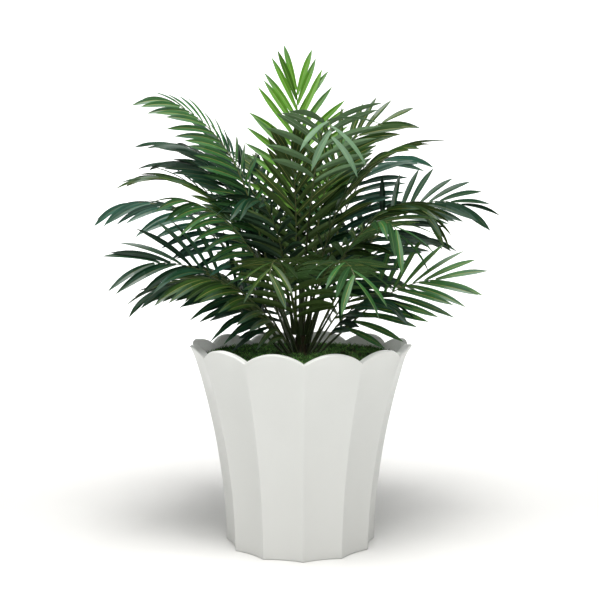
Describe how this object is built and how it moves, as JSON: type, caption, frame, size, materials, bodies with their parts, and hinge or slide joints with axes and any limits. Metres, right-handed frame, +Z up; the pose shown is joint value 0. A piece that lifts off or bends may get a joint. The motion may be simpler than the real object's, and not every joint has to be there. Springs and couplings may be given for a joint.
{
  "type": "artificial parlour palm in a planter",
  "caption": "Artificial parlour palm: arching pinnate fronds on a short stem in moss, in a white fluted planter with a scalloped rim.",
  "frame": {"origin": "centre of the planter's flat underside", "axes": "+Z up; -Y towards the viewer of the picture, +X to the viewer's right"},
  "size_m": [0.7277, 0.5882, 0.9058],
  "materials": {
    "pot": "matt white, fine cast texture",
    "moss": "dark green tufted moss",
    "stem": "dark brown fibrous sheath",
    "frond": "printed leaf cloth, satin"
  },
  "bodies": {
    "root": {"pot": "pot", "moss_bed": "moss", "stem": "stem", "frond_top_centre": "frond", "frond_front_tall": "frond", "frond_centre_inner": "frond", "frond_right_upper": "frond", "frond_right_upper_front": "frond", "frond_right_upper_back": "frond", "frond_right_long": "frond", "frond_right_arch": "frond", "frond_right_front": "frond", "frond_right_low": "frond", "frond_right_rim": "frond", "frond_front_right": "frond", "frond_front_centre": "frond", "frond_front_left_mid": "frond", "frond_left_low_front": "frond", "frond_left_rim": "frond", "frond_left_front": "frond", "frond_left_mid": "frond", "frond_left_far": "frond", "frond_left_olive": "frond", "frond_left_back_mid": "frond", "frond_left_back_upper": "frond", "frond_left_back_high": "frond", "frond_left_upper": "frond", "frond_back_right_high": "frond", "frond_back_left_high": "frond", "frond_back_right_mid": "frond", "frond_back_mid": "frond", "frond_back_left_mid": "frond", "frond_right_back_mid": "frond", "frond_back_right_low": "frond", "frond_back_left_low": "frond", "frond_left_back_low": "frond"}
  },
  "joints": []
}
